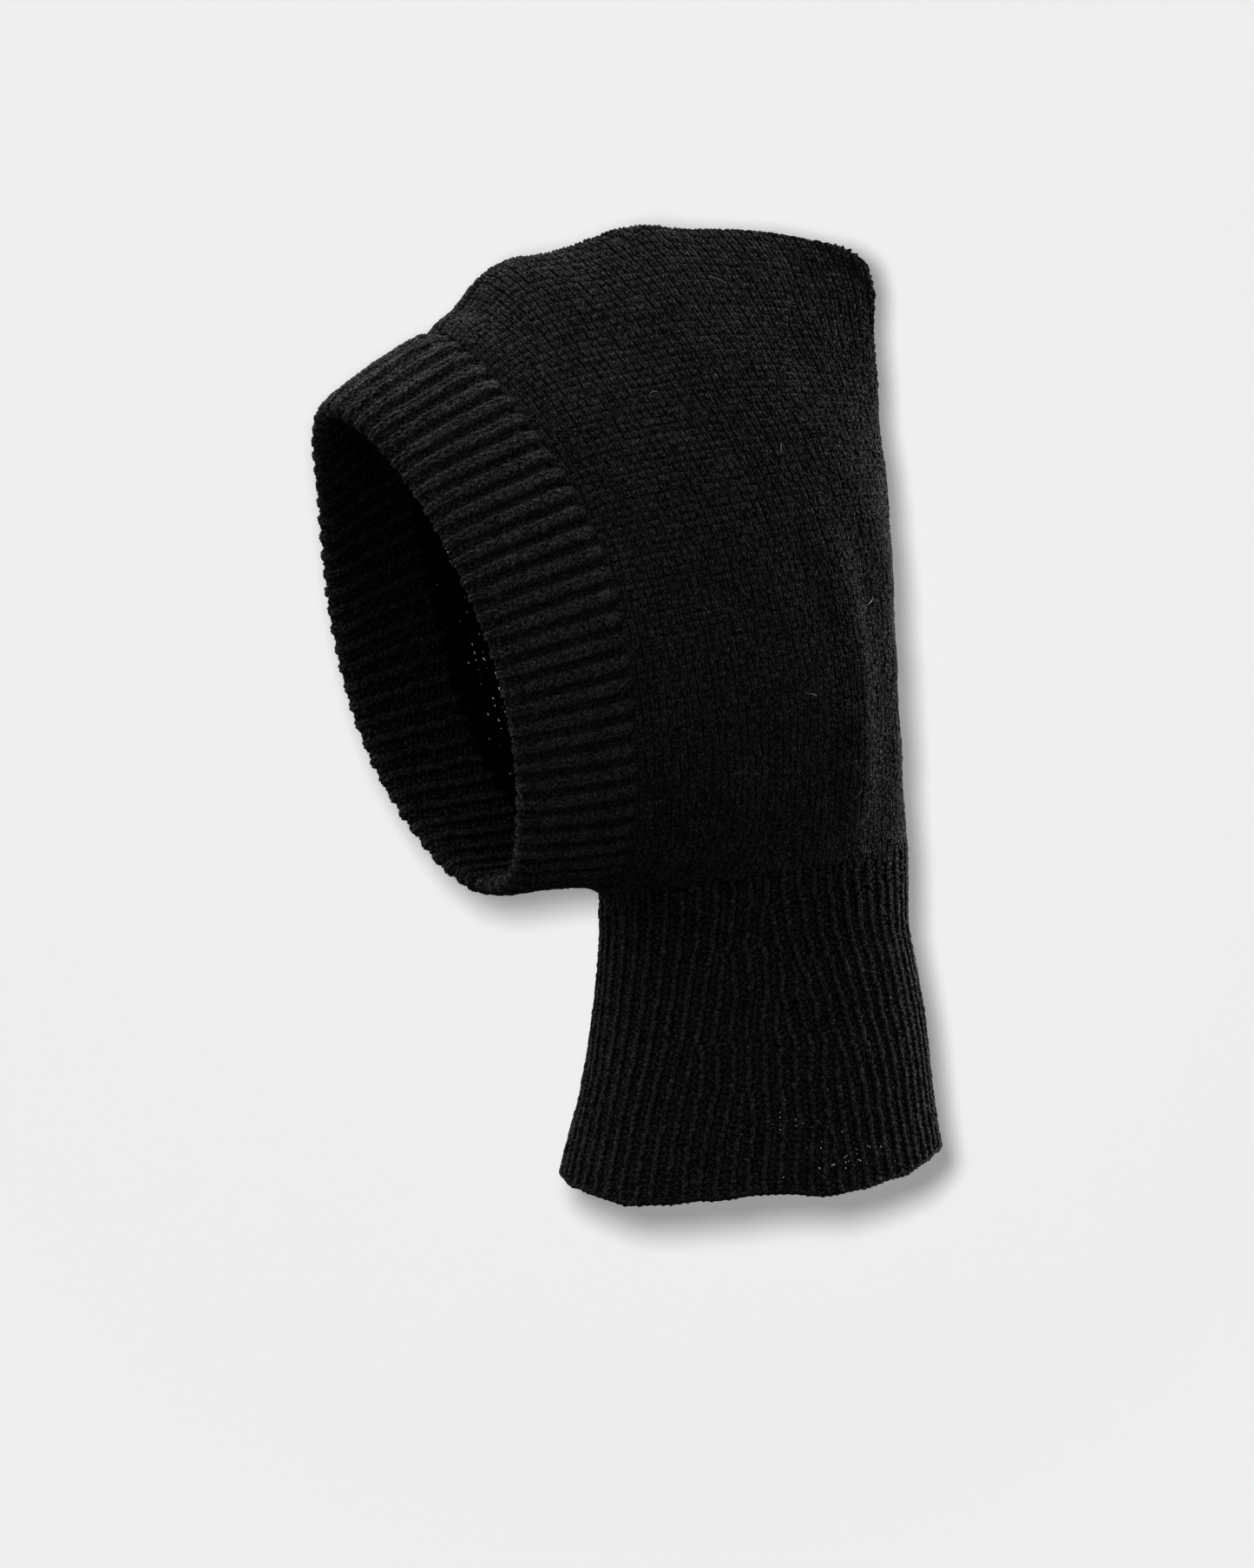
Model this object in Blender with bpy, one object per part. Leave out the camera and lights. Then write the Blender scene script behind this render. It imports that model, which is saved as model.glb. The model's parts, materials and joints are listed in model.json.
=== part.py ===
"""Knitted balaclava hood, worn shape, as separate solids.

+Z up, the face looks towards -Y, the wearer's left is +X. The origin is below
the middle of the whole hood, on the plane that the hem stands on; the profiles
below are drawn from the centre of the neck, NECK_Y behind it. The fabric is a
rectangle of stockinette folded round the back of the head, sewn along the
crown, with a doubled rib band round the face and a rib neck that flares to the
hem. Dimensions below are millimetres; objects are in metres.

Two angles run round the hood: phi goes round the face, from 0 under the chin to
pi at the forehead, and psi goes round the neck, from 0 at the back to pi in front.
"""

from math import pi, radians

import bmesh
import bpy
import numpy as np
from mathutils import Vector

METRES_PER_MM = 0.001
MIRROR_X = np.array([-1, 1, 1])

# Fabric and yarn
FABRIC = 3.4            # thickness of one layer of knitting
JOINT_HALF = 2.0        # half the width of a sewn joint, filled by its yarn
YARN_RADIUS = 0.9
YARN_SIDES = 6
CLEARANCE = 0.4         # between two neighbouring solids

# Neck and hem
NECK_Y = 58.768                                # the neck's centre is this far behind the origin
NECK_HALF_WIDTH, NECK_HALF_DEPTH = 52.0, 67.7  # at the neck line
FLARE_WIDTH, FLARE_DEPTH = 12.0, 16.0          # added to them at FLARE_FULL_Z
FLARE_TOP_Z, FLARE_FULL_Z = 116.0, 10.0
NECK_SHIFT = 2.5                               # the neck bows this far back between the heights
SHIFT_TOP_Z, SHIFT_HEIGHT = 120.0, 85.0        # SHIFT_TOP_Z and SHIFT_HEIGHT below it
CHIN_Z, NECK_BACK_Z = 129.0, 153.0             # height of the neck line, front and back
HEM_RISE = 20.0                                # the hem lifts this far at the back
HEM_RISE_START = 0.1                           # cos(psi) where it begins to lift
HEM_HEIGHT = 6.0                               # cast-on edge
HEM_SWELL = 0.8                                # the cast-on edge stands out from the rib
TWIST_LOW_Z, TWIST_HIGH_Z = 48.0, 76.0         # part of the neck that twists
BEND_Z = 86.0                                  # the neck bends above this height
FRONT_SEAM_LOW_Z = 0.6
FRONT_SEAM_HIGH_Z = CHIN_Z - 4.5

# psi of the neck's columns, open at the front seam
NECK_SLIT = JOINT_HALF / NECK_HALF_WIDTH
NECK_PSI = np.linspace(-pi + NECK_SLIT, pi - NECK_SLIT, 44)

# Face opening and the seam where the band is linked to the hood; centres are (y, z).
# A lean carries the top forward, a bow carries the middle back.
OPEN_HALF_WIDTH, OPEN_HALF_HEIGHT = 65.5, 101.5
OPEN_CENTRE = (-163.0, 229.5)
OPEN_LEAN, OPEN_BOW = 37.5, 10.0
OPEN_TAPER, OPEN_TOP_TAPER = 0.08, 0.12        # shares of the width lost towards the top
SEAM_HALF_WIDTH, SEAM_HALF_HEIGHT = 74.0, 116.5
SEAM_CENTRE = (-109.85, 245.5)
SEAM_LEAN, SEAM_BOW = 40.15, 6.0
SEAM_WAVE = 14.0                               # back in the upper half, forward in the lower
SEAM_TAPER = 0.07

# Face band
BAND_LAYER = 3.3                               # each of its two layers
LAYER_GAP = 0.5                                # air between them
BAND_TOP = 1.2                                 # outer face, above the band's middle sheet
BAND_BULGE = 2.2                               # added halfway across the band
BAND_EDGE = BAND_LAYER + 1.0                   # width of the fold at the opening
BAND_INSIDE = np.array([0, -135, 237.5])       # a point that the band faces away from
BAND_STEPS = 60
BAND_START = 1.6 / 45.0                        # radians from the chin to each end of the band
OUTER_CHAMFER = 1.8                            # corner cut off the fold's outer edge
INNER_CHAMFER_ACROSS, INNER_CHAMFER_OUT = 1.6, 2.0
LINKING_SEAM_OUT = -0.3
END_SEAM_OUT = -2.3

# Hood panel
HOOD_COLUMNS, HOOD_ROWS = 21, 22               # of one side
HOOD_SWELL, HOOD_HOLLOW = 30.0, 19.0           # widening near the crown, narrowing at mid height
CROWN_SEAM_DROP = 1.2                          # its yarn lies this far below the crown line

# Middle line of the crown, (y, z), from the squared back corner to the forehead,
# and of the back of the head, from the neck line up to that corner
CORNER = (54, 391)
CROWN_LINE = (
    CORNER, (46, 397.5), (25, 401.5), (5, 403.5), (-28, 405), (-58, 405),
    (-76, 401.5), (-95, 395.5), (-115, 388), (-134, 376.5), (-147.2, 362.5),
)
NAPE = (NECK_HALF_DEPTH, NECK_BACK_Z)
BACK_LINE = (
    NAPE, (65, 175), (62, 205), (60.8, 250), (60, 290), (58.8, 330),
    (57.5, 365), (56, 383), CORNER,
)

# Joint axes
TILT_POINT = (0.0, 0.0, 105.0)
TURN_POINT = (0.0, 0.0, 62.0)


# Curves and surfaces

def unit(vectors):
    return vectors / np.maximum(np.linalg.norm(vectors, axis=-1, keepdims=True), 1e-9)


def lengths_along(points):
    """Distance of each point from the first, along the line."""
    return np.concatenate([[0], np.cumsum(np.linalg.norm(np.diff(points, axis=0), axis=1))])


def smooth_line(points, share):
    """Hermite curve through the points, share from 0 to 1 along it."""
    points = np.asarray(points, float)
    knots = lengths_along(points)
    knots /= knots[-1]
    slopes = np.gradient(points, knots, axis=0, edge_order=2)
    share = np.clip(np.asarray(share, float), 0, 1)
    i = np.clip(np.searchsorted(knots, share, side="right") - 1, 0, len(points) - 2)
    span = (knots[i + 1] - knots[i])[..., None]
    part = (share - knots[i])[..., None] / span
    return (
        (2 * part**3 - 3 * part**2 + 1) * points[i]
        + (part**3 - 2 * part**2 + part) * span * slopes[i]
        + (-2 * part**3 + 3 * part**2) * points[i + 1]
        + (part**3 - part**2) * span * slopes[i + 1]
    )


def opening(phi):
    """Edge of the face opening."""
    level = -np.cos(phi)  # -1 at the chin, 1 at the forehead
    upper = np.clip(level, 0, 1)
    x = OPEN_HALF_WIDTH * np.sin(phi) * (1 - OPEN_TAPER * level - OPEN_TOP_TAPER * upper**2)
    bow = OPEN_BOW * (1 - level**2) * (0.5 + 0.5 * level)
    y = OPEN_CENTRE[0] - OPEN_LEAN * level + bow
    z = OPEN_CENTRE[1] + OPEN_HALF_HEIGHT * level
    return np.stack([x, y, z], -1)


def seam(phi):
    """Where the band is linked to the hood."""
    level = -np.cos(phi)
    x = SEAM_HALF_WIDTH * np.sin(phi) * (1 - SEAM_TAPER * level)
    bow = (SEAM_WAVE * level + SEAM_BOW) * (1 - level**2)
    y = SEAM_CENTRE[0] - SEAM_LEAN * level + bow
    z = SEAM_CENTRE[1] + SEAM_HALF_HEIGHT * level
    return np.stack([x, y, z], -1)


def across(phi):
    """Unit vector across the band, from its seam to the opening."""
    return unit(opening(phi) - seam(phi))


def hood_front(share):
    """Front edge of the hood, at a share of the band seam's length from the chin."""
    samples = np.linspace(0, pi, 721)
    lengths = lengths_along(seam(samples))
    phi = np.interp(share, lengths / lengths[-1], samples)
    return seam(phi) - JOINT_HALF * across(phi)


def neck_line(psi):
    """Ellipse where the hood meets the neck."""
    middle, half = (CHIN_Z + NECK_BACK_Z) / 2, (NECK_BACK_Z - CHIN_Z) / 2
    return np.stack(
        [
            NECK_HALF_WIDTH * np.sin(psi),
            NECK_HALF_DEPTH * np.cos(psi),
            middle + half * np.cos(psi),
        ],
        -1,
    )


def hood_side(forward, rise):
    """The wearer's left side, blended between its four edges.

    forward: 0 at the back, 1 at the band. rise: 0 at the neck, 1 at the crown.
    """
    forward, rise = np.broadcast_arrays(forward, rise)
    neck = neck_line(pi * forward)
    crown = smooth_line(CROWN_LINE, forward)
    back = smooth_line(BACK_LINE, rise)
    front = hood_front(rise)
    low_front, high_front = hood_front(np.array([0.0, 1.0]))
    to_front = forward[..., None]
    to_crown = rise[..., None] ** 2.6  # the crown only draws in near the top
    yz = (
        (1 - to_crown) * neck[..., 1:]
        + to_crown * crown
        + (1 - to_front) * back
        + to_front * front[..., 1:]
        - (1 - to_front) * (1 - to_crown) * np.array(NAPE)
        - to_front * (1 - to_crown) * low_front[1:]
        - (1 - to_front) * to_crown * np.array(CORNER)
        - to_front * to_crown * high_front[1:]
    )
    arch = np.sin(pi * forward)
    x = (
        (1 - rise**2.2) * NECK_HALF_WIDTH * arch
        + forward**0.8 * front[..., 0]
        + HOOD_SWELL * arch * rise**2 * np.clip(1 - rise, 0, 1) ** 0.6
        - HOOD_HOLLOW * arch * np.sin(pi * rise)
    )
    return np.concatenate([x[..., None], yz], -1)


def hem_z(psi):
    """Flat in front and at the sides, lifted at the back."""
    return HEM_RISE * np.clip((np.cos(psi) - HEM_RISE_START) / (1 - HEM_RISE_START), 0, 1) ** 2


def neck_at(psi, z):
    """Outer surface of the neck at a height."""
    flare = np.clip((FLARE_TOP_Z - z) / (FLARE_TOP_Z - FLARE_FULL_Z), 0, 1.1) ** 1.1
    shift = NECK_SHIFT * np.sin(pi * np.clip((SHIFT_TOP_Z - z) / SHIFT_HEIGHT, 0, 1))
    return np.stack(
        [
            (NECK_HALF_WIDTH + FLARE_WIDTH * flare) * np.sin(psi),
            (NECK_HALF_DEPTH + FLARE_DEPTH * flare) * np.cos(psi) + shift,
            z,
        ],
        -1,
    )


def band_section(turn, outline):
    """The outline's points at a turn round the band, from 0 at the chin to 2 pi.

    Each is (share, along, out): a share of the band's width from its seam, a
    length added to that, and the height above the band's middle sheet.
    """
    phi = min(turn, 2 * pi - turn)
    edge, base = opening(phi), seam(phi)
    direction = across(phi)
    width = np.linalg.norm(edge - base)
    step = 1e-3
    tangent = unit(
        opening(phi + step) + seam(phi + step) - opening(phi - step) - seam(phi - step)
    )
    normal = unit(np.cross(tangent, direction))
    if np.dot(normal, base + edge - 2 * BAND_INSIDE) < 0:
        normal = -normal
    share, along, out = np.array(outline, float).T[..., None]
    bulge = BAND_BULGE * np.sin(pi * share)
    points = base + direction * (share * width + along) + normal * (out + bulge)
    return points if turn <= pi else points * MIRROR_X


# Solids, each as points and faces

def grid_faces(rows, cols, start=0, flip=False, wrap=False):
    faces = []
    for i in range(rows - 1):
        for j in range(cols if wrap else cols - 1):
            k = (j + 1) % cols
            face = (i * cols + j, i * cols + k, (i + 1) * cols + k, (i + 1) * cols + j)
            faces.append([start + corner for corner in (face[::-1] if flip else face)])
    return faces


def shell(outer, inner):
    """Closed sheet between two grids of points, with a strip round all four edges."""
    rows, cols = outer.shape[:2]
    count = rows * cols
    points = np.concatenate([outer.reshape(-1, 3), inner.reshape(-1, 3)])
    faces = grid_faces(rows, cols) + grid_faces(rows, cols, count, flip=True)
    rim = (
        [(0, j) for j in range(cols)]
        + [(i, cols - 1) for i in range(1, rows)]
        + [(rows - 1, j) for j in range(cols - 2, -1, -1)]
        + [(i, 0) for i in range(rows - 2, 0, -1)]
    )
    ids = [i * cols + j for i, j in rim]
    for this, following in zip(ids, ids[1:] + ids[:1]):
        faces.append([following, this, count + this, count + following])
    return points, faces


def sweep(sections, closed=False):
    """Solid through a row of closed outlines, all with the same number of points."""
    sections = np.asarray(sections, float)
    rows, cols = sections.shape[:2]
    faces = grid_faces(rows, cols, wrap=True)
    last = (rows - 1) * cols
    if closed:
        for j in range(cols):
            k = (j + 1) % cols
            faces.append([last + j, last + k, k, j])
    else:
        faces.append(list(range(cols))[::-1])
        faces.append([last + j for j in range(cols)])
    return sections.reshape(-1, 3), faces


def yarn_tube(path, reference=(1, 0, 0), closed=False):
    """Round yarn along a path; the reference direction sets where its sides start."""
    path = np.asarray(path, float)
    if closed:
        tangent = unit(np.roll(path, -1, 0) - np.roll(path, 1, 0))
    else:
        tangent = unit(np.gradient(path, axis=0))
    first = unit(np.cross(tangent, np.asarray(reference, float)))
    second = np.cross(tangent, first)
    angle = (np.arange(YARN_SIDES) * 2 * pi / YARN_SIDES)[None, :, None]
    ring = first[:, None] * np.cos(angle) + second[:, None] * np.sin(angle)
    return sweep(path[:, None] + YARN_RADIUS * ring, closed)


def neck_shell(low, high, rows, swell=0.0):
    """Part of the neck tube between two heights, each a number or one per column."""
    share = np.linspace(0, 1, rows)[:, None]
    z = low * (1 - share) + high * share + 0 * NECK_PSI
    normal = unit(np.stack(
        [
            np.sin(NECK_PSI) / NECK_HALF_WIDTH,
            np.cos(NECK_PSI) / NECK_HALF_DEPTH,
            0 * NECK_PSI,
        ],
        -1,
    ))
    outer = neck_at(NECK_PSI, z) + swell * normal
    inner = outer - (FABRIC + swell) * normal
    return shell(outer[:, ::-1], inner[:, ::-1])


# Scene objects

def clear_scene():
    for obj in list(bpy.data.objects):
        bpy.data.objects.remove(obj, do_unlink=True)


def wool(name, colour, roughness):
    material = bpy.data.materials.new(name)
    material.use_nodes = True
    shader = material.node_tree.nodes["Principled BSDF"]
    shader.inputs["Base Color"].default_value = (*colour, 1)
    shader.inputs["Roughness"].default_value = roughness
    shader.inputs["Metallic"].default_value = 0.0
    return material


def axis_empty(name, point, parent=None):
    """Marks a joint's axis; the pieces that move on it are its children."""
    empty = bpy.data.objects.new(name, None)
    empty.empty_display_size = 0.03
    bpy.context.scene.collection.objects.link(empty)
    empty.parent = parent
    origin = Vector(parent["point"]) if parent else Vector((0, 0, 0))
    empty["point"] = [c * METRES_PER_MM for c in point]
    empty.location = Vector(empty["point"]) - origin
    return empty


def make(name, solid, material, parent):
    points, faces = solid
    mesh = bpy.data.meshes.new(name)
    local = points * METRES_PER_MM - np.array(parent["point"])
    mesh.from_pydata([tuple(point) for point in local], [], faces)
    mesh.materials.append(material)
    work = bmesh.new()
    work.from_mesh(mesh)
    bmesh.ops.recalc_face_normals(work, faces=work.faces)
    work.to_mesh(mesh)
    work.free()
    obj = bpy.data.objects.new(name, mesh)
    bpy.context.scene.collection.objects.link(obj)
    obj.parent = parent
    mesh.shade_smooth()
    mesh.set_sharp_from_angle(angle=radians(50))


# Pieces

def build_neck(material, root, collar):
    hem_low = hem_z(NECK_PSI)
    hem_top = hem_low + HEM_HEIGHT
    neck_top = neck_line(NECK_PSI)[:, 2] - CLEARANCE
    pieces = (  # name, low, high, rows, swell, parent
        ("hem_edge", hem_low, hem_top, 2, HEM_SWELL, root),
        ("neck_rib_lower", hem_top + CLEARANCE, TWIST_LOW_Z, 3, 0.0, root),
        ("neck_rib_twist", TWIST_LOW_Z + CLEARANCE, TWIST_HIGH_Z, 3, 0.0, root),
        ("neck_rib_middle", TWIST_HIGH_Z + CLEARANCE, BEND_Z, 2, 0.0, collar),
        ("neck_rib_bend", BEND_Z + CLEARANCE, neck_top, 4, 0.0, collar),
    )
    for name, low, high, rows, swell, parent in pieces:
        make(name, neck_shell(low, high, rows, swell), material, parent)


def build_neck_seams(material, root, collar):
    """Yarn up the front of the neck, halfway through the fabric, parted at the turn joint."""
    pieces = (  # name, low, high, points, parent
        ("neck_front_seam_lower", FRONT_SEAM_LOW_Z, TWIST_HIGH_Z - CLEARANCE, 9, root),
        ("neck_front_seam_upper", TWIST_HIGH_Z + CLEARANCE, FRONT_SEAM_HIGH_Z, 7, collar),
    )
    for name, low, high, count, parent in pieces:
        path = neck_at(np.full(count, pi), np.linspace(low, high, count)) + [0, FABRIC / 2, 0]
        make(name, yarn_tube(path), material, parent)


def build_hood(material, parent):
    """One panel, folded round the back: right side, back, left side."""
    forward = np.linspace(0, 1, HOOD_COLUMNS)
    rise = np.linspace(0, 1, HOOD_ROWS) ** 0.92
    left = hood_side(forward[None, :], rise[:, None])
    right = left[:, ::-1] * MIRROR_X
    outer = np.concatenate([right, left[:, 1:]], 1)
    normal = unit(np.cross(np.gradient(outer, axis=0), np.gradient(outer, axis=1)))
    inner = outer - FABRIC * normal
    # each side stops short of the middle plane, where the crown seam lies
    place = np.concatenate([-forward[::-1], forward[1:]])
    side = np.sign(place)
    keep = np.minimum(JOINT_HALF, JOINT_HALF * 16 * np.abs(place))
    for points in (outer, inner):
        points[..., 0] = np.maximum(points[..., 0] * side, keep) * side
    # stay clear of the neck below
    inner[0, :, 2] = outer[0, :, 2]
    make("hood_body", shell(outer, inner), material, parent)


def build_crown_seam(material, parent):
    line = smooth_line(CROWN_LINE, np.linspace(0.08, 0.985, 26))
    path = np.stack([0 * line[:, 0], line[:, 0], line[:, 1] - CROWN_SEAM_DROP], -1)
    make("crown_seam", yarn_tube(path), material, parent)


def build_band(material, parent):
    """Two layers; the outer one folds in round the opening, past the facing's edge.

    The band starts and ends under the chin, at either side of its end seam.
    """
    top = BAND_TOP
    low = top - BAND_LAYER
    facing_top = low - LAYER_GAP
    bottom = facing_top - BAND_LAYER
    facing_edge = BAND_EDGE + CLEARANCE
    outer = (
        (0, JOINT_HALF, low), (0.33, 0, low), (0.66, 0, low), (1, -BAND_EDGE, low),
        (1, -BAND_EDGE, bottom), (1, -INNER_CHAMFER_ACROSS, bottom),
        (1, 0, bottom + INNER_CHAMFER_OUT), (1, 0, top - OUTER_CHAMFER),
        (1, -OUTER_CHAMFER, top), (0.66, 0, top), (0.33, 0, top), (0, JOINT_HALF, top),
    )
    facing = (
        (0, JOINT_HALF, bottom), (0.33, 0, bottom), (0.66, 0, bottom),
        (1, -facing_edge, bottom), (1, -facing_edge, facing_top),
        (0.66, 0, facing_top), (0.33, 0, facing_top), (0, JOINT_HALF, facing_top),
    )
    turns = np.linspace(BAND_START, 2 * pi - BAND_START, BAND_STEPS + 1)
    for name, outline in (("face_band_outer", outer), ("face_band_facing", facing)):
        make(name, sweep([band_section(turn, outline) for turn in turns]), material, parent)


def build_linking_seam(material, parent):
    turns = np.linspace(0, 2 * pi, BAND_STEPS, endpoint=False)
    path = [band_section(turn, ((0, 0, LINKING_SEAM_OUT),))[0] for turn in turns]
    solid = yarn_tube(path, reference=(0, 1, 0.35), closed=True)
    make("band_linking_seam", solid, material, parent)


def build_end_seam(material, parent):
    """Yarn across the band under the chin, short of both its edges."""
    steps = ((0, 1.6 * JOINT_HALF), (0.25, 0), (0.5, 0), (0.75, 0), (1, -1.2))
    path = band_section(0.0, [(share, along, END_SEAM_OUT) for share, along in steps])
    make("band_end_seam", yarn_tube(path), material, parent)


def main():
    clear_scene()
    stocking = wool("black_wool_stockinette", colour=(0.012, 0.012, 0.013), roughness=0.95)
    rib = wool("black_wool_rib", colour=(0.014, 0.014, 0.015), roughness=0.95)
    yarn = wool("black_seam_yarn", colour=(0.010, 0.010, 0.011), roughness=0.9)
    root = axis_empty("neck_origin", (0, 0, 0))
    collar = axis_empty("hood_turn_axis", TURN_POINT, root)
    hood = axis_empty("hood_tilt_axis", TILT_POINT, collar)
    root.location = (0, NECK_Y * METRES_PER_MM, 0)
    build_neck(rib, root, collar)
    build_neck_seams(yarn, root, collar)
    build_hood(stocking, hood)
    build_crown_seam(yarn, hood)
    build_band(rib, hood)
    build_linking_seam(yarn, hood)
    build_end_seam(yarn, hood)


main()
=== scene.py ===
"""Knitted balaclava hood, built stitch by stitch.

Every visible piece is yarn: each course of knitting is one tube that runs through all its
loops, laid on a curved sheet. The wearer faces -Y, with the left side at +X and Z up.
The shape functions work in millimetres from the centre of the neck; objects, the stage and
the lights are in metres.
"""

import json
from math import pi, radians

import bpy
import numpy as np
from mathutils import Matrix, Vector


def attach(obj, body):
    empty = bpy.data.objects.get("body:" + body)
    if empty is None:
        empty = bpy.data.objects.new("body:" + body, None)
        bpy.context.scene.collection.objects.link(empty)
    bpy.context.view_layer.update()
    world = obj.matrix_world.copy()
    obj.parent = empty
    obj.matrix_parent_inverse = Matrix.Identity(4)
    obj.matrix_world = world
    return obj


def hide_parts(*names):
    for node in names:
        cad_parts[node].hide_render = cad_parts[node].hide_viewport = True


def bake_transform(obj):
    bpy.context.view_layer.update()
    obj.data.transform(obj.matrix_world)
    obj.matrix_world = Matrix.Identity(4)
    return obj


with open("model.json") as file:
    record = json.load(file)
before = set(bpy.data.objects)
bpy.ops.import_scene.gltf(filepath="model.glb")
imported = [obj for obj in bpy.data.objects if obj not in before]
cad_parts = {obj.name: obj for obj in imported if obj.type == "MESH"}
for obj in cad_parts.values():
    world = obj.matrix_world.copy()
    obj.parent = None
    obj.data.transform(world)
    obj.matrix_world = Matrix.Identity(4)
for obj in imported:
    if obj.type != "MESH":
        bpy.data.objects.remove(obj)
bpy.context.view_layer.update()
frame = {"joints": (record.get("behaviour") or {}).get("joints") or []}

MM = 0.001
# The neck's centre lies this far along Y from the origin
NECK_Y = next(j["pos_m"][1] for j in frame["joints"] if j["name"] == "hood_turn") / MM

# ---------------------------------------------------------------- main dimensions, mm
NECK_HALF_WIDTH, NECK_HALF_DEPTH = 52.0, 67.7
FLARE_WIDTH, FLARE_DEPTH = 12.0, 16.0               # added to the half sizes towards the hem
CHIN_Z, NECK_BACK_Z = 129.0, 153.0
# Face opening, and the seam between band and hood: centres and leans are in Y, Z
OPEN_HALF_WIDTH, OPEN_HALF_HEIGHT = 65.5, 101.5
OPEN_CENTRE, OPEN_LEAN = (-163.0, 229.5), 37.5
SEAM_HALF_WIDTH, SEAM_HALF_HEIGHT = 74.0, 116.5
SEAM_CENTRE, SEAM_LEAN = (-109.85, 245.5), 40.15
FRONT_OVERLAP = 3.0                                 # the hood runs this far past the seam
NECK_SEAM_Z = (8.5, 76.0, 127.0)                    # hem end, division, chin end

# Middle of the crown from the back to the band: y, z
CROWN_LINE = (
    (54, 391), (46, 397.5), (25, 401.5), (5, 403.5), (-28, 405), (-58, 405),
    (-76, 401.5), (-95, 395.5), (-115, 388), (-134, 376.5), (-147.2, 362.5),
)
# Middle of the back from the neck to the crown: y, z
BACK_LINE = (
    (67.7, 153), (65, 175), (62, 205), (60.8, 250), (60, 290), (58.8, 330),
    (57.5, 365), (56, 383), (54, 391),
)
# Hem round the neck: degrees from the back over the wearer's left side, height
HEM_LINE = (
    (0, 26), (22, 24.4), (33, 22.2), (49, 17.4), (62, 12.2), (74, 8.2), (83, 6), (94, 4.4),
    (106, 5), (120, 3.3), (137, 0.9), (147, 0.6), (157, 1.6), (168, 4.6), (181, 8.2),
    (193, 11.4), (205, 12.5), (220, 11), (240, 8), (262, 6), (285, 8), (305, 14), (325, 24),
    (342, 28), (360, 26),
)
# How far the crown stands up: place from the back (0) to the band (1), height
CROWN_HUMPS = (
    (0, 1.2), (0.1, 2.0), (0.28, 3.1), (0.45, 3.0), (0.505, 1.0), (0.565, 0.8), (0.63, 3.0),
    (0.70, 6.0), (0.785, 5.2), (0.885, -1.4), (0.95, 0.5), (1, 1.0),
)
# Soft folds up the hood's left side: height, place from back to band, width,
# heights (0 neck, 1 crown) where it starts to fade and is at full strength, and the
# height it takes to build up from the neck (0 for at once)
LEFT_FOLDS = (
    (1.7, 0.19, 0.07, (0.66, 0.38), 0.2),
    (2.7, 0.385, 0.055, (0.72, 0.47), 0.1),
    (-1.9, 0.65, 0.12, (0.66, 0.41), 0),
)
# Where the back stands out: amount, height, reach
BACK_SWELLS = ((2.1, 297, 24), (-1.1, 240, 12), (1.8, 385, 18))

# ---------------------------------------------------------------- knitting gauge
HOOD_WALES, HOOD_COURSES = 104, 92
NECK_COURSES = 53
NECK_SPLIT = int(NECK_COURSES * 0.55)               # first course of the upper piece
BAND_RIBS = 66
BAND_WALES = 2 * BAND_RIBS
COURSE = 2.75                                       # height of a course, mm
SEGMENTS = 10                       # tube lengths in a stitch
SIDES = 5
# Corners of the faces that close a tube's end; a repeated corner makes a triangle
END_FAN = np.array([[0, 1, 2, 3]] + ([[0, 3, 4, 4]] if SIDES == 5 else []))
lumps = np.random.default_rng(7)                    # unevenness shared by all the tubes


# ---------------------------------------------------------------- curves
def unit(vectors):
    return vectors / np.maximum(np.linalg.norm(vectors, axis=-1, keepdims=True), 1e-12)


def ramp(x, start, end):
    """Eases from 0 at start to 1 at end; end may be the lower one."""
    x = np.clip((x - start) / (end - start), 0, 1)
    return x * x * (3 - 2 * x)


def bell(x, middle, width):
    return np.exp(-(((x - middle) / width) ** 2))


def lengths(points):
    """Length along a line of points, from 0 at the first."""
    return np.concatenate([[0], np.cumsum(np.linalg.norm(np.diff(points, axis=0), axis=1))])


def resample(points, places, wanted):
    """Points of a line at the wanted places, by straight interpolation."""
    columns = range(points.shape[1])
    return np.stack([np.interp(wanted, places, points[:, k]) for k in columns], -1)


def hermite(places, values, x):
    """Smooth curve through the values at the places."""
    places, values = np.asarray(places, float), np.asarray(values, float)
    slopes = np.gradient(values, places, axis=0, edge_order=2)
    x = np.clip(np.asarray(x, float), places[0], places[-1])
    i = np.clip(np.searchsorted(places, x, side="right") - 1, 0, len(places) - 2)
    span = places[i + 1] - places[i]
    part = (x - places[i]) / span
    if values.ndim > 1:
        span, part = span[..., None], part[..., None]
    return (
        (2 * part**3 - 3 * part**2 + 1) * values[i]
        + (part**3 - 2 * part**2 + part) * span * slopes[i]
        + (-2 * part**3 + 3 * part**2) * values[i + 1]
        + (part**3 - part**2) * span * slopes[i + 1]
    )


def smooth_line(points, share):
    points = np.asarray(points, float)
    run = lengths(points)
    return hermite(run / run[-1], points, share)


def waves(points, size, amount, seed):
    """Slow unevenness over space, as a sum of a few waves."""
    random = np.random.default_rng(seed)
    total = 0.0
    for _ in range(6):
        pull = unit(random.normal(size=3)) * 2 * pi / (size * random.uniform(0.7, 1.5))
        total = total + np.sin(points @ pull + random.uniform(0, 2 * pi))
    return amount * total / 2.4


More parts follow.
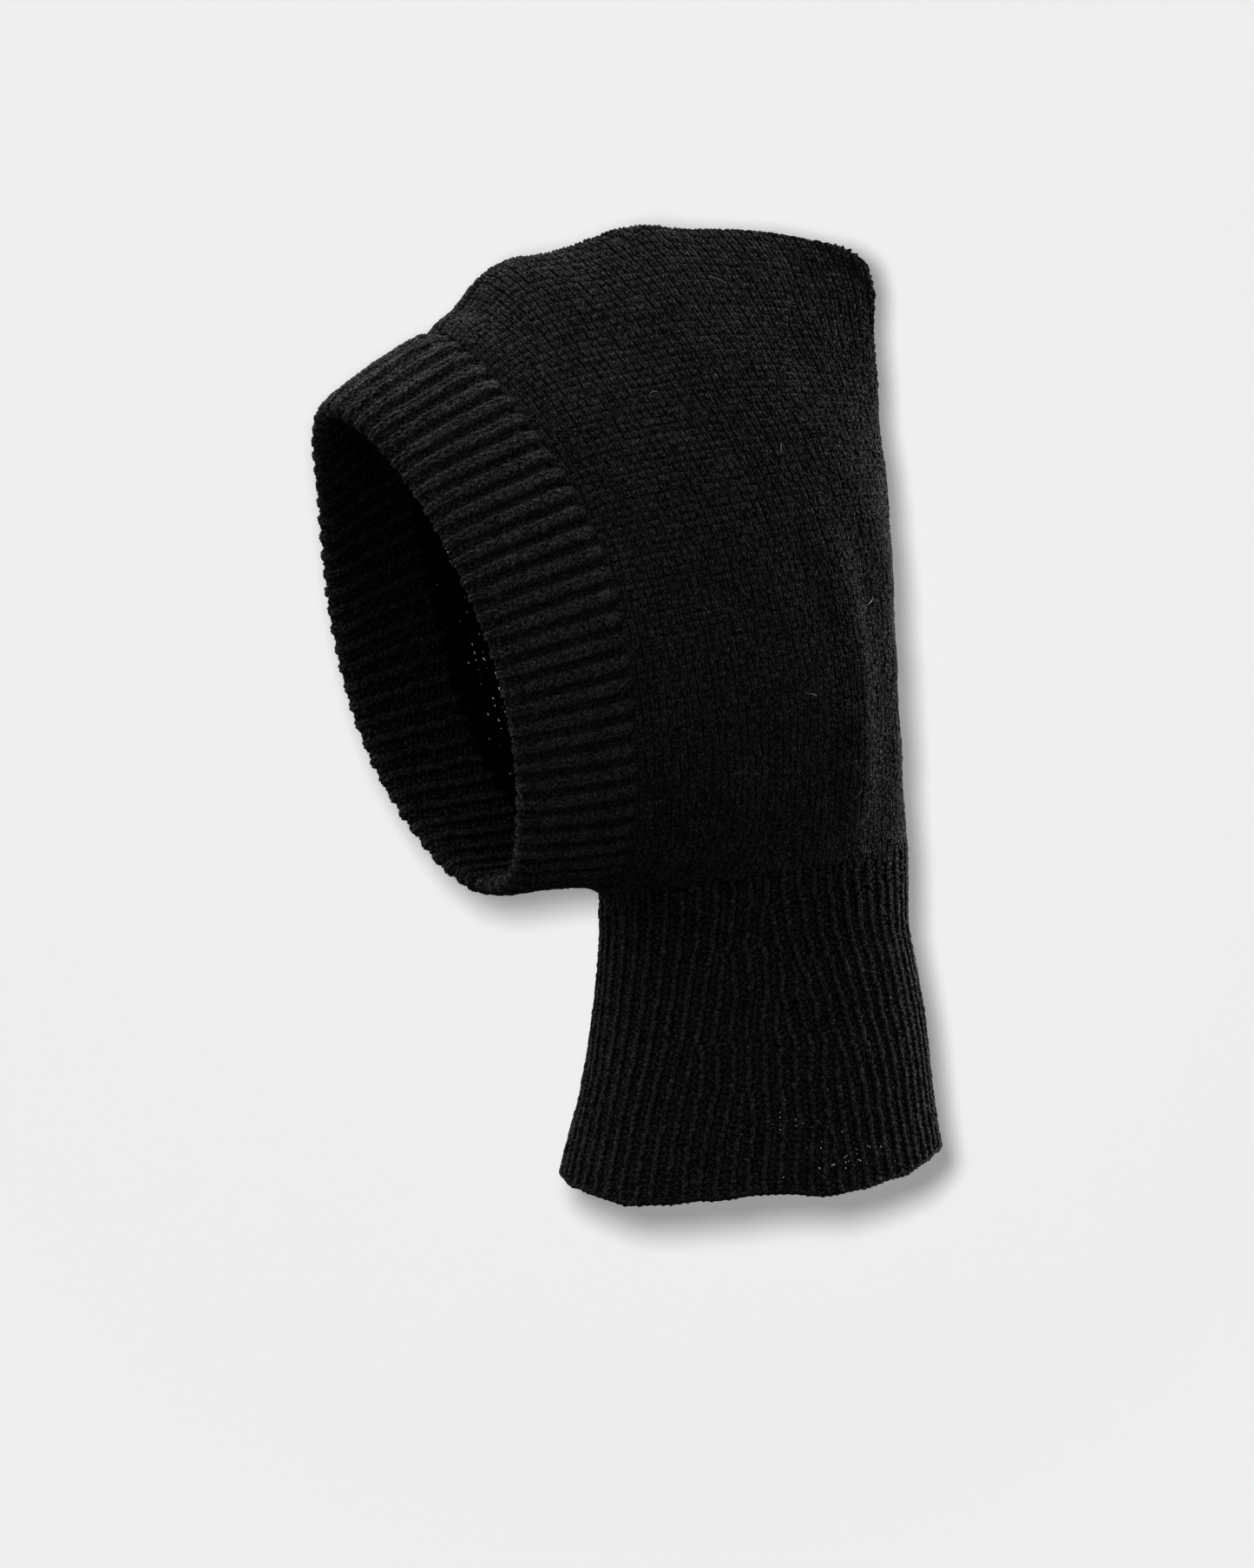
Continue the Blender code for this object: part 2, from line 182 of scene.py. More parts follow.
# ---------------------------------------------------------------- outlines
# Angles round the face run from 0 under the chin to pi over the forehead.
def opening(angle):
    v = -np.cos(angle)
    up = np.clip(v, 0, 1)
    x = OPEN_HALF_WIDTH * np.sin(angle) * (1 - 0.08 * v - 0.12 * up**2)
    y = OPEN_CENTRE[0] - OPEN_LEAN * v + 10 * (1 - v**2) * (0.5 + 0.5 * v)
    return np.stack([x, y, OPEN_CENTRE[1] + OPEN_HALF_HEIGHT * v], -1)


def seam(angle):
    v = -np.cos(angle)
    x = SEAM_HALF_WIDTH * np.sin(angle) * (1 - 0.07 * v)
    y = SEAM_CENTRE[0] - SEAM_LEAN * v + 14 * v * (1 - v**2) + 6 * (1 - v**2)
    z = SEAM_CENTRE[1] + SEAM_HALF_HEIGHT * v
    # the knit hangs a little: the seam sags at the temples and lifts under the chin
    sag = bell(angle, 2.35, 0.5)
    return np.stack([x, y - 4.1 * sag, z - 2.4 * sag + 5.0 * bell(angle, 0, 0.45)], -1)


def right_sag(angle):
    """How far the wearer's right side of the face opening hangs forwards."""
    return 2.6 * bell(angle, 1.05, 0.35) + 4.4 * bell(angle, 1.5, 0.42)


def right_seam_sag(angle):
    return right_sag(angle) + 9.0 * bell(angle, 2.15, 0.45)


def seam_angle(share):
    """Angle at a share of the seam's length."""
    angle = np.linspace(0, pi, 1441)
    run = lengths(seam(angle))
    return np.interp(share, run / run[-1], angle)


def hood_front(rise):
    angle = seam_angle(rise)
    return seam(angle) + FRONT_OVERLAP * unit(opening(angle) - seam(angle))


def neck_line(turn):
    """Top of the neck: turn is 0 at the back and pi at the front."""
    middle, half = (CHIN_Z + NECK_BACK_Z) / 2, (NECK_BACK_Z - CHIN_Z) / 2
    return np.stack([
        NECK_HALF_WIDTH * np.sin(turn), NECK_HALF_DEPTH * np.cos(turn),
        middle + half * np.cos(turn),
    ], -1)


def neck_at(turn, z):
    flare = np.clip((116 - z) / 106, 0, 1.1) ** 1.1
    shift = 2.5 * np.sin(pi * np.clip((120 - z) / 85, 0, 1))
    return np.stack([
        (NECK_HALF_WIDTH + FLARE_WIDTH * flare) * np.sin(turn),
        (NECK_HALF_DEPTH + FLARE_DEPTH * flare) * np.cos(turn) + shift,
        z + 0 * turn,
    ], -1)


def hem_z(turn):
    degrees, heights = np.array(HEM_LINE, float).T
    ripple = 0.35 * np.sin(11 * turn + 0.7) + 0.25 * np.sin(23 * turn)
    return np.maximum(hermite(degrees, heights, np.degrees(turn % (2 * pi))) + ripple, 0.4)


def hood_side(around, rise):
    """The wearer's left side: around from the back to the band, rise from neck to crown."""
    around, rise = np.broadcast_arrays(np.asarray(around, float), np.asarray(rise, float))
    neck, crown = neck_line(pi * around), smooth_line(CROWN_LINE, around)
    back, front = smooth_line(BACK_LINE, rise), hood_front(rise)
    chin, brow = hood_front(np.zeros(1))[0], hood_front(np.ones(1))[0]
    corner, nape = np.array(CROWN_LINE[0], float), np.array(BACK_LINE[0], float)
    forward, upward = around[..., None], rise[..., None] ** 2.6
    # y and z fill in between the four edges; the last term joins the neck's front to the chin
    chin_step = (chin - neck_line(pi))[1:] * (1 - np.exp(-rise[..., None] / 0.035))
    yz = (
        (1 - upward) * neck[..., 1:] + upward * crown
        + (1 - forward) * back + forward * front[..., 1:]
        - (1 - forward) * (1 - upward) * nape - forward * (1 - upward) * chin[1:]
        - (1 - forward) * upward * corner - forward * upward * brow[1:]
        + forward**3 * (1 - upward) * chin_step
    )
    # x joins the neck to the band, bulges below the crown and draws in half way up
    bow = np.sin(pi * around)
    x = (
        (1 - rise**2.2) * NECK_HALF_WIDTH * bow
        + around ** (0.8 + 1.2 * np.exp(-((rise / 0.17) ** 2))) * front[..., 0]
        + 30 * bow * rise**2 * np.clip(1 - rise, 0, 1) ** 0.6
        - 19 * bow * np.sin(pi * rise)
    )
    return np.concatenate([x[..., None], yz], -1)


# ---------------------------------------------------------------- sheets
class Sheet:
    """A curved sheet as a dense grid of points. Columns run along the courses in stitches and
    rows up the wales in courses; places may go a little past the edges."""

    def __init__(self, points, stitches, courses):
        self.points = points
        self.first = stitches[0], courses[0]
        rows, columns = points.shape[:2]
        self.density = (
            (columns - 1) / (stitches[1] - stitches[0]), (rows - 1) / (courses[1] - courses[0])
        )
        self.find_normals()

    def find_normals(self):
        along, up = np.gradient(self.points, axis=1), np.gradient(self.points, axis=0)
        self.normals = unit(np.cross(along, up))

    def pick(self, grid, stitch, course):
        x = (stitch - self.first[0]) * self.density[0]
        y = (course - self.first[1]) * self.density[1]
        i = np.clip(np.floor(x).astype(int), 0, grid.shape[1] - 2)
        j = np.clip(np.floor(y).astype(int), 0, grid.shape[0] - 2)
        x, y = (x - i)[..., None], (y - j)[..., None]
        return (
            grid[j, i] * (1 - x) * (1 - y) + grid[j, i + 1] * x * (1 - y)
            + grid[j + 1, i] * (1 - x) * y + grid[j + 1, i + 1] * x * y
        )

    def at(self, stitch, course, out):
        """Points that stand out from the sheet by so many mm, and its normals there."""
        normal = unit(self.pick(self.normals, stitch, course))
        point = self.pick(self.points, stitch, course) + np.asarray(out)[..., None] * normal
        return point, normal

    def push(self, amount):
        """Moves the sheet along its normals by amount, a grid of mm."""
        self.points = self.points + amount[..., None] * self.normals
        self.find_normals()


def even_columns(points):
    """Spreads the columns of a grid evenly, by length along each row."""
    wanted = np.linspace(0, 1, points.shape[1])
    rows = []
    for row in points:
        run = lengths(row)
        rows.append(resample(row, run / run[-1], wanted))
    return np.array(rows)


# ---------------------------------------------------------------- yarn
def mesh_of(name, points_mm, loops, sizes, uv=None, tone=1.0):
    """A mesh from points in mm of the neck's frame, and faces given as loops and sizes. tone is
    the
    painted shade and light: 0 deep in the cloth, painted darker as shade, and 1 on its face,
    painted paler as lit."""
    points = (points_mm + [0, NECK_Y, 0]) * MM
    mesh = bpy.data.meshes.new(name)
    mesh.vertices.add(len(points))
    mesh.vertices.foreach_set("co", points.astype(np.float32).ravel())
    mesh.loops.add(len(loops))
    mesh.loops.foreach_set("vertex_index", loops.astype(np.int32))
    mesh.polygons.add(len(sizes))
    starts = np.concatenate([[0], np.cumsum(sizes)[:-1]])
    mesh.polygons.foreach_set("loop_start", starts.astype(np.int32))
    mesh.update(calc_edges=True)
    mesh.shade_smooth()
    # This attribute carries the painted shade and light of the tone: low deep in the cloth, high
    # on its face.
    painted_light = mesh.attributes.new("painted_light", "FLOAT", "POINT")
    tones = np.broadcast_to(tone, (len(points),)).astype(np.float32)
    painted_light.data.foreach_set("value", tones)
    if uv is not None:
        layer = mesh.uv_layers.new(name="yarn")
        layer.data.foreach_set("uv", uv[loops].astype(np.float32).ravel())
    return mesh


class Yarn:
    """Collects tubes, then makes one mesh of them."""

    def __init__(self):
        self.points, self.faces, self.uv, self.tone, self.used = [], [], [], [], 0
        self.paths, self.normals, self.tangents = [], [], []

    def tube(self, path, normal, radius, painted_light=0.6):
        """proud is 1 where the yarn lies on the face of the cloth and 0 where it runs behind; it
        paints the yarn paler on the face, as lit, and darker behind, as painted shade.
        """
        count = len(path)
        tangent = unit(np.gradient(path, axis=0))
        side = unit(np.cross(tangent, normal))
        up = np.cross(side, tangent)
        angle = np.arange(SIDES) * 2 * pi / SIDES
        # lumpy wool: each ring and each corner is a little off
        radius = np.broadcast_to(radius, (count,)) * (1 + 0.09 * lumps.normal(size=count))
        radius = radius[:, None, None] * (1 + 0.07 * lumps.normal(size=(count, SIDES, 1)))
        ring = path[:, None] + radius * (
            up[:, None] * np.cos(angle)[None, :, None]
            + side[:, None] * np.sin(angle)[None, :, None]
        )
        self.points.append(ring.reshape(-1, 3))
        # painted shade: the outer side of each tube is painted paler, as lit, and its underside
        # darker
        painted_top_light = (0.5 + 0.5 * np.cos(angle)) ** 0.7
        self.tone.append((np.broadcast_to(painted_light, (count,))[:, None] * painted_top_light[None, :]).ravel())
        ids = np.arange(count * SIDES).reshape(count, SIDES) + self.used
        low, high = ids[:-1], ids[1:]
        quads = np.stack([low, np.roll(low, -1, 1), np.roll(high, -1, 1), high], -1)
        self.faces += [quads.reshape(-1, 4), ids[0][::-1][END_FAN], ids[-1][END_FAN]]
        run = np.repeat(lengths(path), SIDES)
        self.uv.append(np.stack([run, np.tile(np.arange(SIDES) / SIDES, count)], -1))
        self.used += count * SIDES
        self.paths.append(path)
        self.normals.append(np.broadcast_to(normal, path.shape))
        self.tangents.append(tangent)

    def mesh(self, name):
        faces = np.concatenate(self.faces)
        triangle = faces[:, 2] == faces[:, 3]
        keep = np.ones(faces.shape, bool)
        keep[:, 3] = ~triangle
        return mesh_of(name, np.concatenate(self.points), faces[keep], np.where(triangle, 3, 4),
                       np.concatenate(self.uv), np.concatenate(self.tone))


def knit_course(yarn, sheet, wales, course, *, depth, radius, loop, close, seed, sign=None,
                relief=0.0, rib_painted_light=0.0):
    """One course of loops. wales is the place of each stitch's left edge, plus the last one's
    right edge. loop scales the loops' height and close draws their legs together. sign is 1 for
    a knit stitch and -1 for a purl one; where it changes the yarn passes between the needles,
    so the depth goes through nothing there. relief raises the knit ribs and tint paints them
    paler, as painted light on the ribs."""
    random = np.random.default_rng(seed)
    count = len(wales) - 1
    theta = np.arange(count * SEGMENTS + 1) * 2 * pi / SEGMENTS
    x = theta / (2 * pi) + 0.15 * np.sin(2 * theta) + close * np.sin(theta)
    y, z = -0.95 * np.cos(theta), -np.cos(2 * theta)

    def uneven(amount):
        """A random value for each stitch, repeated along it."""
        return amount * np.repeat(random.normal(size=count + 1), SEGMENTS)[: len(x)]

    stretch = 1 + uneven(0.07)
    lean = uneven(0.08) * (wales[1:] - wales[:-1]).mean()
    wander = uneven(0.11)
    face, raised = 1.0, 0.0
    if sign is not None:
        stitch_sign = sign[np.clip(np.floor(x).astype(int), 0, count - 1)]
        hump = np.sin(pi * (x - np.floor(x)))
        raised = stitch_sign * hump
        face = stitch_sign * np.clip(1.5 * hump, 0, 1)
    stitch = np.interp(x, np.arange(count + 1), wales) + lean
    height = course + 0.5 + y * stretch * loop
    path, normal = sheet.at(stitch, height, depth * z * face + relief * raised + wander)
    slow = 0.07 * np.sin(np.arange(len(x)) * 0.11 + random.uniform(0, 6))
    # painted shade and light: yarn on the face of the cloth, and on raised ribs, is painted paler;
    # yarn that runs behind is painted darker
    painted_light = np.clip(0.5 + 0.5 * z * face + rib_painted_light * raised, 0, 1)
    yarn.tube(path, normal, radius * (1 + slow + 0.13 * z), painted_light=painted_light)


# ---------------------------------------------------------------- hood
def hood_points(columns, rows):
    """The bare shape of the hood, from the left of the band round the back to the right."""
    around, rise = np.linspace(0, 1, columns), np.linspace(0, 1, rows)
    left = even_columns(hood_side(around[None, :], rise[:, None]))
    # towards the crown every wale drifts forwards
    climb = np.clip((rise[:, None] - 0.12) / 0.88, 0, 1) ** 1.8
    drift = 0.115 * np.sin(pi * around[None, :]) ** 0.8 * climb
    for r in range(rows):
        left[r] = resample(left[r], around, np.clip(around + drift[r], 0, 1))
    right = left[:, ::-1] * [-1, 1, 1]
    sag = right_seam_sag(seam_angle(rise))
    right[..., 1] -= sag[:, None] * np.linspace(1, 0, columns)[None, :] ** 4
    return np.concatenate([right, left[:, 1:]], 1)[:, ::-1]


def hood_relief(grid, around, rise, on_left):
    """How far the hood's sheet is pushed out, mm."""
    amount = waves(grid, size=95, amount=0.9, seed=11) + waves(grid, size=38, amount=0.35, seed=12)
    for height, middle, width, fade, foot in LEFT_FOLDS:
        build_up = ramp(rise, 0, foot) if foot else 1
        amount += height * bell(around, middle, width) * ramp(rise, *fade) * build_up * on_left
    # a crease slants forwards and down from below the back corner
    crease = bell(around, 0.10 + 0.9 * (0.98 - rise), 0.035)
    amount -= 1.3 * crease * ramp(rise, 0.74, 0.82) * ramp(rise, 0.97, 0.92)
    # the sheet dips into both sewn edges
    amount -= 1.1 * bell((1 - around) * HOOD_WALES / 2, 0, 1.7)
    # the yarn's own thickness is taken off, and the back is shaped above the neck
    nape = 0.8 * bell(rise, 0, 0.07) - 2.0 * bell(rise, 0.165, 0.065)
    return amount - (1.3 + nape * ramp(around, 0.6, 0.3))


def hood_sheet():
    grid = hood_points(columns=260, rows=330)
    sheet = Sheet(grid, (0, HOOD_WALES), (0, HOOD_COURSES + 0.45))
    rows, columns = grid.shape[:2]
    across = np.linspace(1, -1, columns)[None, :]
    around, on_left = np.abs(across), across > 0        # around: 0 at the back, 1 at the band
    rise = np.linspace(0, 1, rows)[:, None]
    sheet.push(hood_relief(grid, around, rise, on_left))
    x, y, z = (sheet.points[..., k] for k in range(3))
    # the crown edges turn down inside the seam, and the crown stands in soft humps
    hump = hermite(*np.array(CROWN_HUMPS).T, around + 0 * rise)
    z += hump * ramp(rise, 0.84, 1.0) - 1.0 * ramp(rise, 0.985, 1.0) * ramp(around, 0, 0.05)
    # the back stands out a little under the crown and below it
    swell = sum(amount * bell(z, height, reach) for amount, height, reach in BACK_SWELLS)
    y += swell * ramp(around, 0.45, 0.05)
    # neither half crosses the middle, and the back corner is rounded off
    least = 1.1 * ramp(around, 0, 0.02)
    x[:] = np.where(on_left, np.maximum(x, least), np.minimum(x, -least))
    corner = 1.6 * bell(around, 0, 0.10) * bell(rise, 1, 0.05)
    y -= corner
    z -= corner
    sheet.find_normals()
    return sheet


def build_hood(sheet):
    yarn = Yarn()
    wales = np.arange(HOOD_WALES + 1, dtype=float)
    for j in range(HOOD_COURSES):
        knit_course(yarn, sheet, wales, j, depth=0.95, radius=0.74, loop=0.90, close=0.055,
                    seed=100 + j)
    return yarn


def hood_holes(stitch, course, _points):
    """Loose stitches low on the right side, where daylight comes through."""
    off_stitch, off_course = stitch - np.round(stitch), course - np.round(course)
    narrow = np.abs(off_stitch) < 0.13
    between = narrow & (np.abs(off_course) < 0.26)
    pinhole = narrow & (off_course > 0) & (off_course < 0.26)
    low_right = (stitch > 70) & (course > 8) & (course < 72)
    luck = np.random.default_rng(3).uniform(size=len(stitch))
    chance = bell(stitch, 90, 12) * bell(course, 33, 16)
    return low_right & (
        (between & (luck < 0.34 * chance)) | (pinhole & (luck < 0.60 * chance))
    )


# Pale hairs caught in the knit: place round the hood in stitches, course, length, heading
LINT_HAIRS = (
    (37, 40, 5.5, 0.4), (30, 62, 4.2, 1.2), (41, 18, 3.6, 2.1), (24, 30, 5.0, -0.5),
    (18, 71, 3.2, 0.1), (34, 84, 4.5, 2.6), (45, 55, 2.8, 1.7), (12, 44, 3.8, -1.0),
    (66, 50, 4.4, 0.9), (75, 70, 3.5, 2.3),
)


def build_lint(sheet):
    random = np.random.default_rng(17)
    yarn = Yarn()
    share = np.linspace(-0.5, 0.5, 12)
    for stitch, course, length, heading in LINT_HAIRS:
        along = length * share / COURSE
        side = random.uniform(-1.2, 1.2) * (share**2 - 0.1)
        stitches = along * np.cos(heading) - side * np.sin(heading)
        courses = along * np.sin(heading) + side * np.cos(heading)
        out = 1.9 + 0.5 * np.cos(pi * share)
        path, normal = sheet.at(stitch + 1.1 * stitches, course + courses, out)
        yarn.tube(path, normal, 0.10 * (1 - 0.6 * np.abs(2 * share)), painted_light=1.0)
    return yarn


# ---------------------------------------------------------------- neck
# Pairs of stitches added on the way down, on both sides of the neck: number of stitches from
# the front, and the height share where the pair starts. They push the other ribs forwards
# and back.
INCREASES = (
    (20, 0.90), (17, 0.78), (23, 0.72), (20, 0.60), (15, 0.50), (25, 0.44), (18, 0.33), (22, 0.20),
)


def neck_sheet():
    """The neck, once round from the front over the left side, and up from the hem."""
    turn = np.linspace(pi, -pi, 721)[None, :]
    rise = np.linspace(0, 1, 200)[:, None]
    z = hem_z(turn) * (1 - rise) + neck_line(turn)[..., 2] * rise
    grid = even_columns(neck_at(turn + 0 * z, z))
    sheet = Sheet(grid, (0, 1), (-0.3, NECK_COURSES))
    uneven = waves(grid, size=60, amount=0.5, seed=21) * (1 - rise)
    sheet.push(uneven - 0.9 - 1.1 * ramp(rise, 0, 0.25))
    return sheet


def neck_wales(rise):
    """Edges of the stitches round the neck, from 0 to 1, and their signs, at a height share."""
    extra = {}
    for stitches, start in INCREASES:
        if rise < start:
            width = np.clip((start - rise) / 0.13, 0, 1) * 0.72 + 0.28
            even = stitches // 2 * 2
            extra.setdefault(even, []).append(width)
            extra.setdefault(HOOD_WALES - even, []).append(width)
    widths, signs = [], []
    for i in range(HOOD_WALES):
        for width in extra.get(i, ()):
            widths += [width, width]
            signs += [1, -1]
        widths.append(1.0)
        signs.append(1 if i % 2 == 0 else -1)
    edges = np.concatenate([[0], np.cumsum(widths)])
    return edges / edges[-1], np.array(signs)


def build_neck(sheet, first, last):
    yarn = Yarn()
    ragged = np.random.default_rng(5).integers(0, 3, 4 * HOOD_WALES)
    for j in range(first, last):
        edges, signs = neck_wales((j + 0.5) / NECK_COURSES)
        # the rib ends raggedly in plain stitches at the top
        left_over = NECK_COURSES - 1 - j - ragged[: len(signs)]
        signs = np.where(left_over < 0, 1.0, signs)
        fade = 0.35 + 0.65 * ramp(NECK_COURSES - j, 0, 7)
        knit_course(yarn, sheet, edges, j, sign=signs, depth=0.85, relief=0.40 * fade,
                    radius=0.74, loop=0.84, close=0.15, rib_painted_light=0.05, seed=400 + j)
    return yarn


def neck_holes(_stitch, _course, points):
    """Loose stitches over the hem, at the left side and at the back right."""
    x, y, z = points.T
    degrees = np.degrees(np.arctan2(x, y)) % 360
    left = bell(degrees, 88, 28) * bell(z, 32, 11)
    back_right = bell(degrees, 316, 34) * bell(z, 32, 13)
    luck = np.random.default_rng(4).uniform(size=len(points))
    return luck < 0.38 * left + 0.60 * back_right


def build_hem(sheet):
    """The cast-on edge: two strands twisted along the hem."""
    yarn = Yarn()
    twists = len(neck_wales(0.0)[1]) // 2
    around = np.linspace(0, 1, twists * 12 + 1)
    for phase in (0, pi):
        twist = 2 * pi * twists * around + phase
        path, normal = sheet.at(around, 0.12 + 0.2 * np.sin(twist), 0.75 * np.cos(twist))
        path[:, 2] = np.maximum(path[:, 2], 0.95)
        yarn.tube(path, normal, 0.8)
    return yarn


# ---------------------------------------------------------------- band round the face
BAND_OUT, BAND_IN = 0.1, -4.7       # outer layer and facing, mm out from the seam's surface
FOLD_BACK = 1.4                     # the fold stops this far short of the opening, mm
FOLD_COURSES = 3.6                  # reach of the fold
RIB_SPREAD = 0.34                   # how much wider than a stitch the leading ribs lie
TOP_FLATTEN, TOP_STITCHES = 0.3, 20  # ribs are flatter over the forehead


def band_profile(width):
    """Cross-section from the seam to the opening, round the fold and back along the facing:
    share of the width, mm along, mm out."""
    radius, middle = (BAND_OUT - BAND_IN) / 2, (BAND_OUT + BAND_IN) / 2
    flat = np.linspace(0, 1, 60)

    def layer(share, out):
        return share, 0.4 * (1 - share) - (radius + FOLD_BACK) * share, out

    profile = []
    for share in flat:
        dip = 2.1 * bell(share * width, 0, 2.6)
        lip = 0.5 * bell((1 - share) * width, 7, 4.5)
        profile.append(layer(share, BAND_OUT + 1.3 * np.sin(pi * share) + lip - dip))
    for angle in np.linspace(0, pi, 26)[1:-1]:
        along = radius * np.sin(angle) - (radius + FOLD_BACK)
        profile.append((1, along, middle + radius * np.cos(angle)))
    for share in flat[::-1]:
        dip = 2.0 * bell(share * width, 0, 2.0)
        profile.append(layer(share, BAND_IN + 1.2 * np.sin(pi * share) + dip))
    profile = np.array(profile)
    run = lengths(np.stack([profile[:, 0] * width + profile[:, 1], profile[:, 2]], -1))
    return resample(profile, run, np.linspace(0, run[-1], 200)), run[-1]


def face_round(start, columns):
    """Angles round the whole face, up the left side and down the right: the angle from the
    chin and the side, 1 on the left and -1 on the right."""
    angle = np.linspace(start, 2 * pi - start, columns)
    on_left = angle <= pi
    return np.where(on_left, angle, 2 * pi - angle), np.where(on_left, 1.0, -1.0)


def band_sheet():
    columns = 961
    half, side = face_round(0.012, columns)
    rim, sewn = opening(half), seam(half)
    rim[:, 0] *= side
    sewn[:, 0] *= side
    rim[:, 1] -= right_sag(half) * (side < 0)
    sewn[:, 1] -= right_seam_sag(half) * (side < 0)
    rim[:, 2] += 2.2 * bell(half, 0.0, 0.35)
    # even spacing round the middle of the band
    run = lengths((rim + sewn) / 2)
    numbers = np.arange(columns)
    even = np.interp(np.linspace(0, 1, columns), run / run[-1], numbers)
    rim, sewn = resample(rim, numbers, even), resample(sewn, numbers, even)
    forward = unit(rim - sewn)
    width = np.linalg.norm(rim - sewn, axis=-1)
    tangent = unit(np.gradient((rim + sewn) / 2, axis=0))
    outward = unit(np.cross(tangent, forward))
    profile, length = band_profile(width.mean())
    share, along, out = (profile[:, k:k + 1] for k in range(3))
    chin = bell(np.interp(even, numbers, half), 0, 0.42)
    out = out - 3.0 * np.sin(pi * share) * chin[None, :]
    grid = (
        sewn[None] + forward[None] * (share * width[None, :] + along)[..., None]
        + outward[None] * out[..., None]
    )
    rows = int(round(length / COURSE))
    sheet = Sheet(grid, (0, BAND_WALES), (0, rows))
    sheet.push(waves(grid, size=70, amount=0.55, seed=31))
    return sheet, rows


BAND_SHEET, BAND_ROWS = band_sheet()
BAND_SPLIT = int(round(BAND_ROWS * 0.56))       # first course of the facing


def build_band():
    outer, facing = Yarn(), Yarn()
    sign = np.where(np.arange(BAND_WALES) % 2 == 0, 1, -1)
    flat = 1 - TOP_FLATTEN * bell(np.arange(BAND_WALES), BAND_RIBS, TOP_STITCHES)
    for j in range(BAND_ROWS):
        outside = j < BAND_ROWS / 2
        # the ribs close up on the flat and open round the fold; on the facing the others
        # stand out
        fold = bell(j + 0.5, BAND_ROWS / 2, FOLD_COURSES)
        spread = RIB_SPREAD * (1 - fold)
        widths = np.where((sign > 0) == outside, 1.0 + spread, 1.0 - spread)
        wales = np.concatenate([[0], np.cumsum(widths)])
        knit_course(outer if j < BAND_SPLIT else facing, BAND_SHEET, wales, j, sign=sign * flat,
                    depth=0.70, relief=(1.2 - 0.8 * fold) * (1.0 if outside else 0.7),
                    radius=0.98, loop=0.95, close=0.05, rib_painted_light=0.12, seed=700 + j)
    return outer, facing


def rib_ridge(stitch, course):
    """Side (1 outside, -1 facing), nearness to the fold, and 1 on top of a rib of the band and
    -1 in the furrow beside it."""
    side = np.where(course < BAND_ROWS / 2, 1, -1)
    fold = bell(course, BAND_ROWS / 2, FOLD_COURSES)
    wide = 1 + RIB_SPREAD * (1 - fold) * side
    place = stitch % 2
    ridge, furrow = np.sin(pi * place / wide), -np.sin(pi * (place - wide) / (2 - wide))
    return side, fold, side * np.where(place < wide, ridge, furrow)


def rib_depth(stitch, course):
    """The felt of the band fills its ribs and leaves narrow furrows between them."""
    side, fold, ridge = rib_ridge(stitch, course)
    above = ridge + 0.3
    shape = 0.4 + np.where(ridge > -0.3, 1.75 * np.clip(above, 0, 1.3) ** 0.55, 2.8 * above)
    flat = 1 - TOP_FLATTEN * bell(stitch, BAND_RIBS, TOP_STITCHES)
    return side * shape * (1 - 0.55 * fold) * flat * np.where(side > 0, 1, 0.75)


# Painted light and shade on the band's felt: paler on top of each rib and darker in the furrows,
# as painted shade, with less of it round the fold, over the forehead and on the facing.
def rib_painted_shade(stitch, course):
    side, fold, ridge = rib_ridge(stitch, course)
    flat = 1 - 0.4 * bell(stitch, BAND_RIBS, TOP_STITCHES)
    contrast = (1 - 0.5 * fold) * flat * np.where(side > 0, 1, 0.5)
    return np.clip(0.60 + contrast * (0.42 * ridge * side - 0.12), 0, 1)


# ---------------------------------------------------------------- felt between the loops
def felt_mesh(name, sheet, stitches, courses, cells, depth, relief=None, holes=None, tone=0.25):
    """The matted wool inside the knit: a thin layer that closes the gaps between the loops,
    left open where the knit is loose. relief adds to its depth, from stitch and course. tone
    is its painted shade and light; the felt is painted darker than the yarn's face, as shade
    between the loops."""
    across, up = cells
    stitch = np.linspace(*stitches, across + 1)[None, :] + np.zeros((up + 1, 1))
    course = np.linspace(*courses, up + 1)[:, None] + np.zeros((1, across + 1))
    out = depth + (relief(stitch, course) if relief else 0 * stitch)
    points = sheet.at(stitch, course, out)[0].reshape(-1, 3)
    ids = np.arange(len(points)).reshape(up + 1, across + 1)
    quads = np.stack([ids[:-1, :-1], ids[:-1, 1:], ids[1:, 1:], ids[1:, :-1]], -1).reshape(-1, 4)
    if holes:
        middles = ((grid[:-1, :-1] + grid[1:, 1:]).ravel() / 2 for grid in (stitch, course))
        quads = quads[~holes(*middles, points[quads].mean(1))]
    # painted shade: the felt's tone darkens it below the yarn's face
    shade = tone(stitch, course).ravel() if callable(tone) else tone
    return mesh_of(name, points, quads.ravel(), np.full(len(quads), 4), tone=shade)


# ---------------------------------------------------------------- seams
def whip(points, normals, pitch, across, radius, lift=0.0):
    """A sewing yarn that winds along a seam, across mm to either side."""
    run = lengths(points)
    turns = max(int(run[-1] / pitch), 2)
    places = np.linspace(0, run[-1], turns * 8 + 1)
    line = resample(points, run, places)
    normal = unit(resample(normals, run, places))
    side = unit(np.cross(unit(np.gradient(line, axis=0)), normal))
    wind = 2 * pi * places / run[-1] * turns
    out = lift + 0.55 * np.sin(wind)
    path = line + side * (across * np.cos(wind))[:, None] + normal * out[:, None]
    yarn = Yarn()
    yarn.tube(path, normal, radius)
    return yarn


